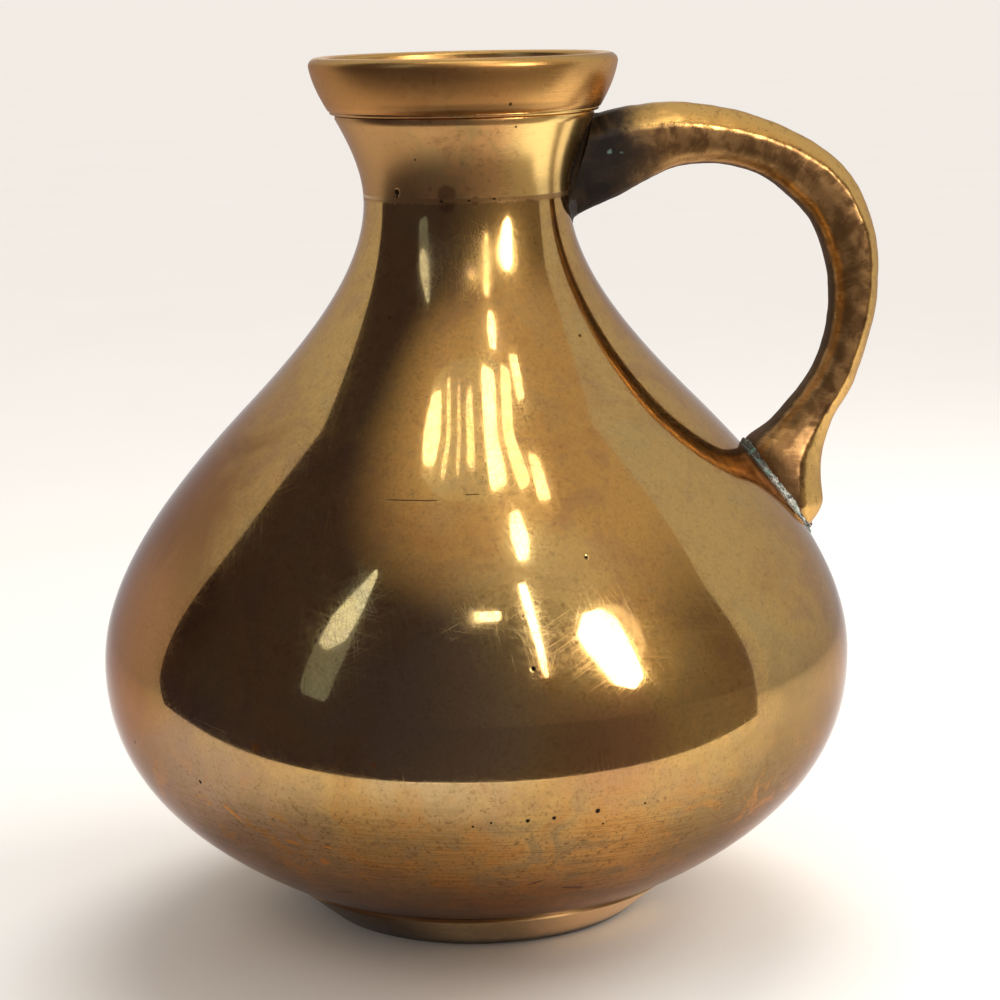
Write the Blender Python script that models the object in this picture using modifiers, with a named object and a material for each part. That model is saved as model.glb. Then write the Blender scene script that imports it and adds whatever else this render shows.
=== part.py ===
"""Cast brass jug, brazed and soldered together from its castings.

The belly is two castings joined at a level seam, the flared neck is a third, and a foot ring with a disc
in it closes the bottom. The handle is cast apart and soldered to the neck and the shoulder.
Metres, +Z up, origin on the jug's axis at the floor, handle towards +X.
"""

import math
from collections import namedtuple

import bmesh
import bpy
from mathutils import Vector

# Outside of the jug: heights above the floor and radii at its main levels
FOOT_HEIGHT = 0.0085
FOOT_TOP_RADIUS = 0.0413
FOOT_FLOOR_RADIUS = 0.0313
BELLY_HEIGHT = 0.0520
BELLY_RADIUS = 0.0748
SHOULDER_HEIGHT = 0.1030
SHOULDER_RADIUS = 0.0444
WAIST_HEIGHT = 0.1432
WAIST_RADIUS = 0.0203
GROOVE_HEIGHT = 0.1590
GROOVE_RADIUS = 0.0255
LIP_EDGE_HEIGHT = 0.1692
LIP_EDGE_RADIUS = 0.0303
LIP_TOP_HEIGHT = 0.1709

# Slopes of the outside where it isn't upright: change of radius over change of height
FOOT_SLOPE = 1.90
SHOULDER_SLOPE = -0.975
GROOVE_SLOPE = 0.55
COLLAR_BASE_SLOPE = 0.60
COLLAR_TOP_SLOPE = 0.16

# Lip and the turned groove under it
LIP_CROWN_RADIUS = 0.0284
LIP_MOUTH_RADIUS = 0.0266
LIP_MOUTH_DROP = 0.0009
GROOVE_WIDTH = 0.0016
GROOVE_DEPTH = 0.0004

# Walls and joints
WALL = 0.0024
GAP = 0.0003
SEAM = 0.0010
NECK_SEAM_HEIGHT = 0.1441
BELLY_SEAM_HEIGHT = 0.0377
BELLY_SPIGOT = 0.0018
NECK_SPIGOT = 0.0040
BOWL_HOLE_RADIUS = 0.0240

# Foot ring and base disc
FOOT_EDGE = 0.0006
FOOT_SOLDER_WIDTH = 0.0026
FOOT_SOLDER_HEIGHT = 0.0012
DISC_RADIUS = 0.0260
DISC_THICKNESS = 0.0024
DISC_LEDGE = 0.0030
DISC_CHAMFER = 0.0012
BASE_SOLDER_LIFT = 0.0001

# Handle solder: how far it spreads round the handle, and how far it climbs off the jug
SOLDER_SPREAD = 0.0016
ROOT_SOLDER_CLIMB = 0.0022
PAD_SOLDER_CLIMB = 0.0016

# How far the handle's cutter runs past its ends, as a share of the distance between stations
CLEARANCE_OVERRUN = 0.15

# Fineness of the solids
TURN_STEPS = 48
AXIS_MERGE = 0.00001
SHARP_ANGLE = math.radians(30)
BODY_POINTS = 18
BODY_INNER_POINTS = 15
BOWL_POINTS = 9
BOWL_INNER_POINTS = 7
NECK_POINTS = 6
COLLAR_POINTS = 5
LIP_POINTS = 4
ENVELOPE_POINTS = 27
HANDLE_STEPS = 3
CROWN_POINTS = 5
SLOPE_STEP = 0.0001

# Heights, radii and slopes that the outside passes through
OUTSIDE = (
    (FOOT_HEIGHT, FOOT_TOP_RADIUS, FOOT_SLOPE),
    (BELLY_HEIGHT, BELLY_RADIUS, 0.0),
    (SHOULDER_HEIGHT, SHOULDER_RADIUS, SHOULDER_SLOPE),
    (WAIST_HEIGHT, WAIST_RADIUS, 0.0),
    (GROOVE_HEIGHT, GROOVE_RADIUS, GROOVE_SLOPE),
)

# The handle's outer and inner lines in the XZ plane, its width, and the rise of its outer face
Station = namedtuple("Station", "outer inner width crown")
HANDLE = (
    Station((0.0250, 0.1586), (0.0180, 0.1375), 0.0130, 0.0048),
    Station((0.0340, 0.1604), (0.0290, 0.1420), 0.0128, 0.0048),
    Station((0.0460, 0.1606), (0.0430, 0.1480), 0.0124, 0.0046),
    Station((0.0624, 0.1562), (0.0572, 0.1465), 0.0118, 0.0040),
    Station((0.0763, 0.1473), (0.0679, 0.1386), 0.0114, 0.0034),
    Station((0.0828, 0.1340), (0.0727, 0.1290), 0.0112, 0.0030),
    Station((0.0832, 0.1190), (0.0736, 0.1178), 0.0110, 0.0030),
    Station((0.0790, 0.1042), (0.0700, 0.1060), 0.0108, 0.0032),
    Station((0.0740, 0.0951), (0.0622, 0.0965), 0.0118, 0.0040),
    Station((0.0717, 0.0865), (0.0560, 0.0905), 0.0170, 0.0060),
    Station((0.0722, 0.0790), (0.0580, 0.0800), 0.0190, 0.0064),
    Station((0.0700, 0.0750), (0.0610, 0.0740), 0.0120, 0.0030),
)
ROOT_STATIONS = HANDLE[:4]
PAD_STATIONS = HANDLE[7:]

# Section of the handle, as shares of half its width: flat inner face, chamfer, middle of the sides
INNER_SHARE = 0.54
SIDE_SHARE = 0.82
FLANK_SHARE = 0.99
INNER_CHAMFER = 0.0012


def cubic(stations, height):
    """Radius at a height on the cubic that passes through stations of (height, radius, slope)."""
    spans = list(zip(stations, stations[1:]))
    low, high = next((span for span in spans if height <= span[1][0]), spans[-1])
    rise = high[0] - low[0]
    t = (height - low[0]) / rise
    bend = low[2] * t * (1 - t) ** 2 - high[2] * t * t * (1 - t)
    return low[1] + (high[1] - low[1]) * t * t * (3 - 2 * t) + rise * bend


def outside(height):
    """Outer radius of the body and neck, from the foot's crease to the groove."""
    return cubic(OUTSIDE, height)


def lean(height):
    """Level distance across the sloping wall, per unit of its thickness."""
    slope = (outside(height + SLOPE_STEP) - outside(height - SLOPE_STEP)) / (2 * SLOPE_STEP)
    return math.hypot(1, slope)


def inside(height):
    """Inner radius at a height, one wall's thickness in from the outside, measured square to it."""
    return outside(height) - WALL * lean(height)


def spread(low, high, count):
    """Evenly spaced values from low to high."""
    return [low + (high - low) * i / (count - 1) for i in range(count)]


def walk(radius_at, low, high, count):
    """Points (radius, height) of a wall between two heights, from low to high."""
    return [(radius_at(height), height) for height in spread(low, high, count)]


def new_collection(name):
    """An empty collection in the scene."""
    collection = bpy.data.collections.new(name)
    bpy.context.scene.collection.children.link(collection)
    return collection


def finish_of(name, color, roughness, metallic=1.0):
    """A plain metal finish."""
    material = bpy.data.materials.new(name)
    material.use_nodes = True
    shader = material.node_tree.nodes["Principled BSDF"]
    shader.inputs["Base Color"].default_value = (*color, 1.0)
    shader.inputs["Roughness"].default_value = roughness
    shader.inputs["Metallic"].default_value = metallic
    return material


def add_object(name, mesh, collection, material=None):
    """An object of a mesh, with its finish, or a hidden cutter where it has none."""
    mesh.shade_smooth()
    mesh.set_sharp_from_angle(angle=SHARP_ANGLE)
    thing = bpy.data.objects.new(name, mesh)
    collection.objects.link(thing)
    if material:
        mesh.materials.append(material)
    else:
        thing.hide_render = True
        thing.display_type = "WIRE"
    return thing


def turned(name, profile, collection, material=None):
    """A turned piece. A profile that starts and ends on the axis is left open, and any other is closed."""
    count = len(profile)
    solid_core = profile[0][0] == 0 and profile[-1][0] == 0
    edges = [(i, (i + 1) % count) for i in range(count - solid_core)]
    mesh = bpy.data.meshes.new(name)
    mesh.from_pydata([(radius, 0, height) for radius, height in profile], edges, [])
    thing = add_object(name, mesh, collection, material)
    screw = thing.modifiers.new("turn", "SCREW")
    screw.steps = TURN_STEPS
    screw.render_steps = TURN_STEPS
    screw.use_merge_vertices = True
    screw.merge_threshold = AXIS_MERGE
    return thing


def collar_flank(height):
    """Outer radius of the collar, from the groove's upper edge to the lip's outer edge."""
    base = GROOVE_HEIGHT + GROOVE_WIDTH
    base_radius = GROOVE_RADIUS + GROOVE_SLOPE * GROOVE_WIDTH + GROOVE_DEPTH
    stations = (
        (base, base_radius, COLLAR_BASE_SLOPE),
        (LIP_EDGE_HEIGHT, LIP_EDGE_RADIUS, COLLAR_TOP_SLOPE),
    )
    return cubic(stations, height)


def lip_crown():
    """Rounded top of the lip, from its mouth to its outer edge."""
    rise = LIP_TOP_HEIGHT - LIP_EDGE_HEIGHT
    reach = LIP_EDGE_RADIUS - LIP_CROWN_RADIUS
    points = [(LIP_MOUTH_RADIUS, LIP_TOP_HEIGHT - LIP_MOUTH_DROP)]
    for angle in spread(0.0, math.pi / 2, LIP_POINTS)[:-1]:
        points.append((
            LIP_CROWN_RADIUS + reach * math.sin(angle),
            LIP_EDGE_HEIGHT + rise * math.cos(angle),
        ))
    return points


def collar_side(clearance):
    """Side of the collar from the lip's outer edge down to the groove, moved out by a clearance."""
    points = walk(collar_flank, GROOVE_HEIGHT + GROOVE_WIDTH, LIP_EDGE_HEIGHT, COLLAR_POINTS)
    return [(radius + clearance, height) for radius, height in reversed(points)]


def groove():
    """Turned groove under the collar, from top to bottom."""
    middle = GROOVE_HEIGHT + GROOVE_WIDTH / 2
    return [(outside(GROOVE_HEIGHT) - GROOVE_DEPTH / 2, middle), (GROOVE_RADIUS, GROOVE_HEIGHT)]


def make_neck_collar(parts, brass):
    """Flared neck with its lip. A counterbore at its foot slips over the body's spigot."""
    foot = NECK_SEAM_HEIGHT + SEAM / 2 + GAP
    bore = outside(NECK_SEAM_HEIGHT) - (WALL - GAP) / 2
    bore_top = NECK_SEAM_HEIGHT + NECK_SPIGOT + GAP
    profile = lip_crown()
    profile += collar_side(0.0)
    profile += groove()
    profile += walk(outside, foot, GROOVE_HEIGHT, NECK_POINTS)[-2::-1]
    profile += [(bore, foot), (bore, bore_top)]
    profile += walk(inside, bore_top, GROOVE_HEIGHT, NECK_POINTS)
    return turned("neck_collar", profile, parts, brass)


def make_upper_body(parts, brass):
    """Shoulder casting. Its top spigot enters the neck, and its lower edge is rebated to take the bowl."""
    top = NECK_SEAM_HEIGHT - SEAM / 2 - GAP
    foot = BELLY_SEAM_HEIGHT + SEAM / 2 + GAP
    spigot = outside(NECK_SEAM_HEIGHT) - (WALL + GAP) / 2
    spigot_top = NECK_SEAM_HEIGHT + NECK_SPIGOT
    rebate = outside(BELLY_SEAM_HEIGHT) - (WALL - GAP) / 2
    rebate_top = BELLY_SEAM_HEIGHT + BELLY_SPIGOT + GAP
    profile = [(spigot, spigot_top), (spigot, top)]
    profile += walk(outside, foot, top, BODY_POINTS)[::-1]
    profile += [(rebate, foot), (rebate, rebate_top)]
    profile += walk(inside, rebate_top, top, BODY_INNER_POINTS)
    profile += [(WAIST_RADIUS - WALL, spigot_top)]
    return turned("upper_body", profile, parts, brass)


def make_lower_bowl(parts, brass):
    """Bowl casting, with a spigot on its rim and a flat flange over the foot."""
    top = BELLY_SEAM_HEIGHT - SEAM / 2 - GAP
    spigot = outside(BELLY_SEAM_HEIGHT) - (WALL + GAP) / 2
    spigot_top = BELLY_SEAM_HEIGHT + BELLY_SPIGOT
    floor = FOOT_HEIGHT + WALL
    profile = [(spigot, spigot_top), (spigot, top)]
    profile += walk(outside, FOOT_HEIGHT, top, BOWL_POINTS)[::-1]
    profile += [(BOWL_HOLE_RADIUS, FOOT_HEIGHT), (BOWL_HOLE_RADIUS, floor)]
    profile += walk(inside, floor, top, BOWL_INNER_POINTS)
    profile += [(spigot - WALL / 2, spigot_top)]
    return turned("lower_bowl", profile, parts, brass)


def foot_taper(height):
    """Outer radius of the foot ring."""
    return FOOT_FLOOR_RADIUS + (FOOT_TOP_RADIUS - FOOT_FLOOR_RADIUS) * height / FOOT_HEIGHT


def make_foot_ring(parts, brass):
    """Tapering foot, chamfered at its top for the solder and recessed below for the base disc."""
    top = FOOT_HEIGHT - GAP
    chamfer_foot = top - FOOT_SOLDER_HEIGHT - GAP
    recess = DISC_RADIUS + GAP
    ledge = DISC_THICKNESS + GAP
    profile = [
        (foot_taper(top) - FOOT_SOLDER_WIDTH - 2 * GAP, top),
        (foot_taper(chamfer_foot), chamfer_foot),
        (foot_taper(FOOT_EDGE), FOOT_EDGE),
        (foot_taper(0) - FOOT_EDGE, 0),
        (recess, 0),
        (recess, ledge),
        (recess - DISC_LEDGE, ledge),
        (recess - DISC_LEDGE, top),
    ]
    return turned("foot_ring", profile, parts, brass)


def make_base_disc(parts, brass):
    """Disc that closes the bottom, flush with the floor, with its lower edge chamfered for the solder."""
    profile = [
        (0, DISC_THICKNESS),
        (DISC_RADIUS, DISC_THICKNESS),
        (DISC_RADIUS, DISC_CHAMFER),
        (DISC_RADIUS - DISC_CHAMFER, 0),
        (0, 0),
    ]
    return turned("base_disc", profile, parts, brass)


def make_seam_rings(parts, braze):
    """Braze left in the two level seams, flush with the outside."""
    seams = (("neck_braze", NECK_SEAM_HEIGHT), ("belly_braze", BELLY_SEAM_HEIGHT))
    for name, height in seams:
        back = outside(height) - (WALL - GAP) / 2
        low, high = height - SEAM / 2, height + SEAM / 2
        profile = [(back, high), (outside(high), high), (outside(low), low), (back, low)]
        turned(name, profile, parts, braze)


def make_foot_solder(parts, braze):
    """Solder in the crease between the bowl and the foot."""
    top = FOOT_HEIGHT - GAP
    low = top - FOOT_SOLDER_HEIGHT
    profile = [(foot_taper(top) - FOOT_SOLDER_WIDTH, top), (foot_taper(top), top), (foot_taper(low), low)]
    return turned("foot_solder", profile, parts, braze)


def make_base_solder(parts, braze):
    """Solder in the groove round the base disc, a little clear of the floor."""
    inner = DISC_RADIUS - DISC_CHAMFER + 2 * GAP
    profile = [
        (DISC_RADIUS, DISC_CHAMFER - 2 * GAP),
        (DISC_RADIUS, BASE_SOLDER_LIFT),
        (inner, BASE_SOLDER_LIFT),
    ]
    return turned("base_solder", profile, parts, braze)


def smooth_between(values, t):
    """Value at t on the smooth curve through a run of evenly spaced values."""
    last = len(values) - 2
    i = min(int(t), last)
    t -= i
    before, start, end, after = (values[min(max(i + k, 0), last + 1)] for k in (-1, 0, 1, 2))
    slope_in, slope_out = (end - before) / 2, (after - start) / 2
    bend = slope_in * (t * (1 - t) ** 2) - slope_out * (t * t * (1 - t))
    return start + (end - start) * (t * t * (3 - 2 * t)) + bend


def section(station_values, grow):
    """Points round the handle at one station: flat inside, slightly full sides and a crowned outer face."""
    outer, inner, width, crown = station_values
    across = (outer - inner).normalized()
    outer = outer + across * grow
    inner = inner - across * grow
    half = width / 2 + grow
    thick = (outer - inner).length
    right = [
        (half * INNER_SHARE, 0.0),
        (half * SIDE_SHARE, INNER_CHAMFER),
        (half * FLANK_SHARE, (thick - crown) / 2),
    ]
    right += [
        (half * share, thick - crown * share * share) for share in spread(1.0, 0.0, CROWN_POINTS)[:-1]
    ]
    left = [(-side, height) for side, height in reversed(right)]
    points = []
    for side, height in right + [(0.0, thick)] + left:
        place = inner + across * height
        points.append((place.x, side, place.y))
    return points


def handle_mesh(name, stations, grow=0.0, overrun=0.0):
    """Handle lofted through its stations, grown all round and run on a little past its ends."""
    lines = [
        [Vector(station.outer) for station in stations],
        [Vector(station.inner) for station in stations],
        [station.width for station in stations],
        [station.crown for station in stations],
    ]
    shape = bmesh.new()
    rings = []
    last = len(stations) - 1
    for t in spread(-overrun, last + overrun, HANDLE_STEPS * last + 1):
        values = [smooth_between(line, t) for line in lines]
        rings.append([shape.verts.new(point) for point in section(values, grow)])
    count = len(rings[0])
    for ring, following in zip(rings, rings[1:]):
        for i in range(count):
            k = (i + 1) % count
            shape.faces.new((ring[i], ring[k], following[k], following[i]))
    shape.faces.new(rings[0])
    shape.faces.new(rings[-1])
    bmesh.ops.recalc_face_normals(shape, faces=shape.faces)
    mesh = bpy.data.meshes.new(name)
    shape.to_mesh(mesh)
    shape.free()
    return mesh


def make_envelope(name, cutters, clearance):
    """Solid of the jug's whole outside, grown by a clearance, to cut the handle and its solder."""
    heights = spread(GROOVE_HEIGHT, BELLY_HEIGHT, ENVELOPE_POINTS)
    profile = [(0, LIP_EDGE_HEIGHT)] + collar_side(clearance)
    profile += [(outside(height) + clearance * lean(height), height) for height in heights]
    profile += [(0, BELLY_HEIGHT)]
    return turned(name, profile, cutters)


def cut(thing, operation, tool):
    """One exact Boolean on a piece."""
    modifier = thing.modifiers.new(f"{operation.lower()} {tool.name}", "BOOLEAN")
    modifier.operation = operation
    modifier.object = tool


def make_handle(parts, cutters, brass, solder):
    """Handle and the two fillets of solder that hold it, each cut to the jug's outside with a gap."""
    clear = make_envelope("jug_clearance", cutters, GAP)
    handle = add_object("handle", handle_mesh("handle", HANDLE), parts, brass)
    cut(handle, "DIFFERENCE", clear)
    grown_mesh = handle_mesh("handle_clearance", HANDLE, GAP, CLEARANCE_OVERRUN)
    grown = add_object("handle_clearance", grown_mesh, cutters)
    joints = (
        ("upper_handle_solder", ROOT_STATIONS, ROOT_SOLDER_CLIMB),
        ("lower_handle_solder", PAD_STATIONS, PAD_SOLDER_CLIMB),
    )
    for name, stations, climb in joints:
        reach = make_envelope(f"{name}_reach", cutters, climb)
        fillet = add_object(name, handle_mesh(name, stations, SOLDER_SPREAD), parts, solder)
        cut(fillet, "DIFFERENCE", grown)
        cut(fillet, "INTERSECT", reach)
        cut(fillet, "DIFFERENCE", clear)


def main():
    for thing in list(bpy.data.objects):
        bpy.data.objects.remove(thing)
    parts = new_collection("brass_jug")
    cutters = new_collection("brass_jug_cutters")
    brass = finish_of("polished_brass", (0.62, 0.40, 0.12), 0.22)
    dark_brass = finish_of("tarnished_brass", (0.30, 0.18, 0.07), 0.38)
    braze = finish_of("braze", (0.55, 0.38, 0.16), 0.40)
    solder = finish_of("old_solder", (0.32, 0.33, 0.30), 0.70, 0.4)
    make_neck_collar(parts, brass)
    make_upper_body(parts, brass)
    make_lower_bowl(parts, brass)
    make_foot_ring(parts, brass)
    make_base_disc(parts, brass)
    make_seam_rings(parts, braze)
    make_foot_solder(parts, braze)
    make_base_solder(parts, braze)
    make_handle(parts, cutters, dark_brass, solder)


main()
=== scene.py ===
"""Looks of the cast brass jug: its pieces as worn metal, a camera and a plain soft studio.

Metres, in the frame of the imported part: +Z up, origin on the jug's axis at the floor, handle towards +X.
"""

import math
from collections import namedtuple
from functools import reduce
from itertools import accumulate

import bmesh
import bpy
from mathutils import Matrix, Vector, noise


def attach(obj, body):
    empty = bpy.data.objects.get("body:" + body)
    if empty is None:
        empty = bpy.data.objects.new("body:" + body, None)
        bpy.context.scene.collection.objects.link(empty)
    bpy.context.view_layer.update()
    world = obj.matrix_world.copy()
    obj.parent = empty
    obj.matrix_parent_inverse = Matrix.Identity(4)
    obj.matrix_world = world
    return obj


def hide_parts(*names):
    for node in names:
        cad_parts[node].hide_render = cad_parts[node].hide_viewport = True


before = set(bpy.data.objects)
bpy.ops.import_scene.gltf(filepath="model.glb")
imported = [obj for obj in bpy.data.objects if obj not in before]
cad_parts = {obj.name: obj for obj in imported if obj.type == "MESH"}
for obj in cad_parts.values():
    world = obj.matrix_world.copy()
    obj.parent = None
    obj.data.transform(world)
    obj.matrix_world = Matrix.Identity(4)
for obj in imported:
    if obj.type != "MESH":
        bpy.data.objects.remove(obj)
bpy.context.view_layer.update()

# Outside of the jug, as in the part's source: heights above the floor, radii and slopes
FOOT_HEIGHT = 0.0085
FOOT_TOP_RADIUS = 0.0413
FOOT_FLOOR_RADIUS = 0.0313
BELLY_HEIGHT = 0.0520
BELLY_RADIUS = 0.0748
WAIST_HEIGHT = 0.1432
WAIST_RADIUS = 0.0203
GROOVE_HEIGHT = 0.1590
GROOVE_RADIUS = 0.0255
LIP_EDGE_HEIGHT = 0.1692
LIP_EDGE_RADIUS = 0.0303
LIP_TOP_HEIGHT = 0.1709
LIP_CROWN_RADIUS = 0.0284
LIP_MOUTH_RADIUS = 0.0266
OUTSIDE = (
    (FOOT_HEIGHT, FOOT_TOP_RADIUS, 1.90),
    (BELLY_HEIGHT, BELLY_RADIUS, 0.0),
    (0.1030, 0.0444, -0.975),
    (WAIST_HEIGHT, WAIST_RADIUS, 0.0),
    (GROOVE_HEIGHT, GROOVE_RADIUS, 0.55),
)

# Ridge and groove under the collar, from the collar's lower edge down
COLLAR_BASE_HEIGHT = 0.1606
COLLAR_BASE_RADIUS = 0.0268
RIDGE_FOOT_HEIGHT = 0.1599
RIDGE_RADIUS = 0.0265
GROOVE_FLOOR_RADIUS = 0.0253
COLLAR = (
    (COLLAR_BASE_HEIGHT, COLLAR_BASE_RADIUS, 0.60),
    (LIP_EDGE_HEIGHT, LIP_EDGE_RADIUS, 0.16),
)

# Walls and seams, and the smallest step of a turned edge
WALL = 0.0024
NECK_SEAM_HEIGHT = 0.1441
BELLY_SEAM_HEIGHT = 0.0377
NECK_SEAM_WIDTH = 0.0006
BELLY_SEAM_WIDTH = 0.0002
BOWL_HOLE_RADIUS = 0.0240
HAIR = 0.0001

# Foot ring, base disc and their solder
FOOT_SOLDER_WIDTH = 0.0026
FOOT_SOLDER_HEIGHT = 0.0012
FOOT_ROUNDING = 0.0008
DISC_RADIUS = 0.0260
DISC_THICKNESS = 0.0024
DISC_LEDGE = 0.0030
DISC_CHAMFER = 0.0012
LATHE_RINGS = 7
LATHE_RING_DEPTH = 0.00015

# The handle's outer and inner lines in the XZ plane, its width, and the rise of its outer face
HANDLE = (
    ((0.0250, 0.1586), (0.0180, 0.1375), 0.0130, 0.0048),
    ((0.0340, 0.1604), (0.0290, 0.1420), 0.0128, 0.0048),
    ((0.0460, 0.1606), (0.0430, 0.1480), 0.0124, 0.0046),
    ((0.0624, 0.1562), (0.0572, 0.1465), 0.0118, 0.0040),
    ((0.0763, 0.1473), (0.0679, 0.1386), 0.0114, 0.0034),
    ((0.0828, 0.1340), (0.0727, 0.1290), 0.0112, 0.0030),
    ((0.0832, 0.1190), (0.0736, 0.1178), 0.0110, 0.0030),
    ((0.0790, 0.1042), (0.0700, 0.1060), 0.0108, 0.0032),
    ((0.0740, 0.0951), (0.0622, 0.0965), 0.0118, 0.0040),
    ((0.0717, 0.0865), (0.0560, 0.0905), 0.0170, 0.0060),
    ((0.0722, 0.0790), (0.0580, 0.0800), 0.0190, 0.0064),
    ((0.0700, 0.0750), (0.0610, 0.0740), 0.0120, 0.0030),
)
INNER_SHARE = 0.36
SIDE_SHARE = 0.82
FLANK_SHARE = 0.99
ARRIS_SHARE = 0.975
CROWN_SHARES = (0.90, 0.75, 0.50, 0.25)
INNER_CHAMFER = 0.0014
ARRIS = 0.0010
HANDLE_SINK = 0.0008
TIP_REACH = 0.0006
TIP_END_SHARE = 0.02

# Unevenness of the castings: slow dents in the turned pieces, lumps on the handle
DENT_DEPTH = 0.00014
DENT_SIZE = 0.030
LUMPS = ((0.0090, 0.00018), (0.0034, 0.00009), (0.0018, 0.00005))

# Solder round the ends of the handle: how far it climbs and spreads, depth of crust, its grains
Solder = namedtuple("Solder", "climb spread crust grain density")
ROOT_SOLDER = Solder(0.0024, 0.0011, 0.00022, 0.00009, 0.6e6)
PAD_SOLDER = Solder(0.0019, 0.0014, 0.00110, 0.00017, 6.0e6)
LUMP_SIZE = 0.0028
GRAIN_SEED = 3

# Fineness
TURN_STEPS = 320
HANDLE_STEPS = 40
SECTION_ROUNDS = 3
TIP_STEPS = 6
FILLET_STEPS = 6
LIP_STEPS = 21
SMOOTH_ANGLE = math.radians(38)
CURVE_STEP = 0.0009
SLOPE_STEP = 0.0001
WELD = 0.000002
SHEET_RADIUS = 0.060

# Camera, fitted to the outline of the jug in the photograph
CAMERA_PLACE = Vector((-0.0751, -0.5388, 0.1853))
CAMERA_AIM = Vector((0.1452, 0.9717, -0.1860))
CAMERA_ROLL = -0.0217
CAMERA_LENS = 99.2
SENSOR = 36.0

# Pale floor of the studio, its lamps by name, strength, place and aim, and its light from all round
FLOOR_RINGS = (60.0, 15.0, 4.0, 1.0, 0.3, 0.0)
FLOOR_COLUMNS = 65
SUN_STRENGTH = 1.42
SUN_PLACE = Vector((0.20, 0.565, 1.0))
SUN_WIDTH = math.radians(32)
SOFT_LAMP_SIZE = 0.4
SOFT_LAMPS = (
    ("beside", 2.2, Vector((0.48, 0.04, 0.30)), Vector((0.10, -0.08, 0.0))),
    ("before", 0.65, Vector((-0.45, -0.25, 0.50)), Vector((-0.10, -0.12, 0.0))),
)
LAMP_COLOR = (1.0, 0.955, 0.90)
SKY = (0.61, 0.592, 0.573)
MIRRORED_SKY = (0.70, 0.695, 0.69)
BACKDROP = (0.882, 0.836, 0.779)

# Dim front room that only reflections see: a dome, by degrees from the camera's side, and its tones
DOME_RADIUS = 1.2
DOME_HEIGHT = 0.09
ROOM_LEFT = -107.0
ROOM_RIGHT = 88.0
ROOM_LOW = -4.3
ROOM_TOP = 89.0
ROOM_ROWS = 48
ROOM_COLUMNS = 96
WIDEN_LEFT = 5.0
WIDEN_RIGHT = 11.0
DIM_LEFT = Vector((0.064, 0.053, 0.070))
DIM_RIGHT = Vector((0.235, 0.192, 0.160))
CEILING = Vector((0.70, 0.575, 0.45))
HALO = Vector((0.42, 0.38, 0.30))
GLARE = Vector((0.30, 0.32, 0.30))

# Table in front, which begins at the curved edge of the pale floor, and the veil over the far floor
FLOOR_EDGE = 0.143
EDGE_BEND = 2.6
EDGE_EASE = 1.5
EDGE_WIDTH = 0.003
EDGE_COLUMNS = 14
TABLE_LEFT = -0.322
TABLE_RIGHT = 0.224
TABLE_COLUMNS = 61
TABLE_LIFT = Vector((0.0, 0.0, 0.0006))
VEIL_LIFT = 0.0003
VEIL_FADE = ((0.20, 0.0), (0.32, 0.5), (0.50, 1.0), (FLOOR_RINGS[0], 1.0))

# Light-giving panels of the room: corners by azimuth and elevation, strength, tint
WARM = (1.0, 0.95, 0.84)
DAYLIGHT = (0.72, 0.92, 1.20)
Panel = namedtuple("Panel", "name outline glow tint", defaults=(WARM,))
CORNER_ROUNDS = 2
CORNER_SHARE = 0.12
WIDE_RADIUS = 1.17
WIDE_PANELS = (
    Panel("back_soft", ((172, 4), (192, 4), (190, 66), (174, 66)), 1.3),
    Panel(
        "lamp_shade",
        ((33, 31), (39, 39), (47, 41), (54, 39), (57, 33), (55, 25), (50, 18), (40, 15)),
        1.6,
    ),
    Panel(
        "window_glass",
        ((-47, 52), (-44, 51), (-42, 31), (-44, 6), (-53, 9), (-54, 30), (-52, 43)),
        0.36,
        DAYLIGHT,
    ),
    Panel("skylight", ((-48, 69.5), (-30, 69), (10, 69), (50, 67), (54, 80), (0, 84), (-50, 80)), 0.80),
)
BRIGHT_RADIUS = 1.04
BRIGHT_PANELS = (
    Panel(
        "lamp",
        ((34, 34), (39, 40), (46, 40), (50, 36), (50, 22), (50, 13), (46, 8), (40, 12), (35, 28)),
        12.0,
    ),
    Panel(
        "window",
        ((-46, 52), (-44, 51), (-43, 42), (-44, 32), (-49, 27), (-53, 29), (-53, 39)),
        1.9,
        DAYLIGHT,
    ),
    Panel("strip", ((18.5, 52), (22.5, 52), (21.5, 19), (20, 21)), 11.0),
    Panel("sign", ((-1, 42.5), (9, 42.5), (10, 45.5), (-1, 45.5)), 6.0),
    Panel("skylight_left", ((-46, 70.5), (-36, 71.5), (-40, 78), (-56, 78), (-55, 72.5)), 5.5),
    Panel("skylight_bar_1", ((-29, 71), (-25, 71), (-28, 80), (-34, 80)), 3.2),
    Panel("skylight_bar_2", ((-17, 73), (-13, 72), (-15, 80), (-20, 80)), 2.6),
    Panel("skylight_bar_3", ((-6, 74), (2, 73), (4, 82), (-8, 82)), 3.6),
    Panel("skylight_right", ((14, 70), (30, 70), (35, 80), (18, 80)), 7.0),
    Panel("skylight_far_right", ((36, 68), (47, 67.5), (53, 80), (42, 80)), 4.5),
    Panel("high_lamp", ((45, 65), (53, 63.5), (57, 66), (60, 68), (54, 70)), 6.0),
    Panel("front_lamp", ((22, 57), (27, 57), (31, 61), (31, 66), (24, 66), (21, 62)), 8.0),
)

# Colours of the metal, and the directions of its hairlines in degrees
GOLD = (0.60, 0.375, 0.128)
COPPER = (0.47, 0.245, 0.090)
BROWN = (0.20, 0.11, 0.045)
RESIDUE = (0.30, 0.14, 0.06)
SOOT = (0.025, 0.018, 0.012)
EDGE_TINT = (0.66, 0.60, 0.62)
HAIRLINE_WAYS = (6, -20, 33, -47, 62, -71, 88)
LONG_MARK_WAYS = (12, -33, 64, 81)

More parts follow.
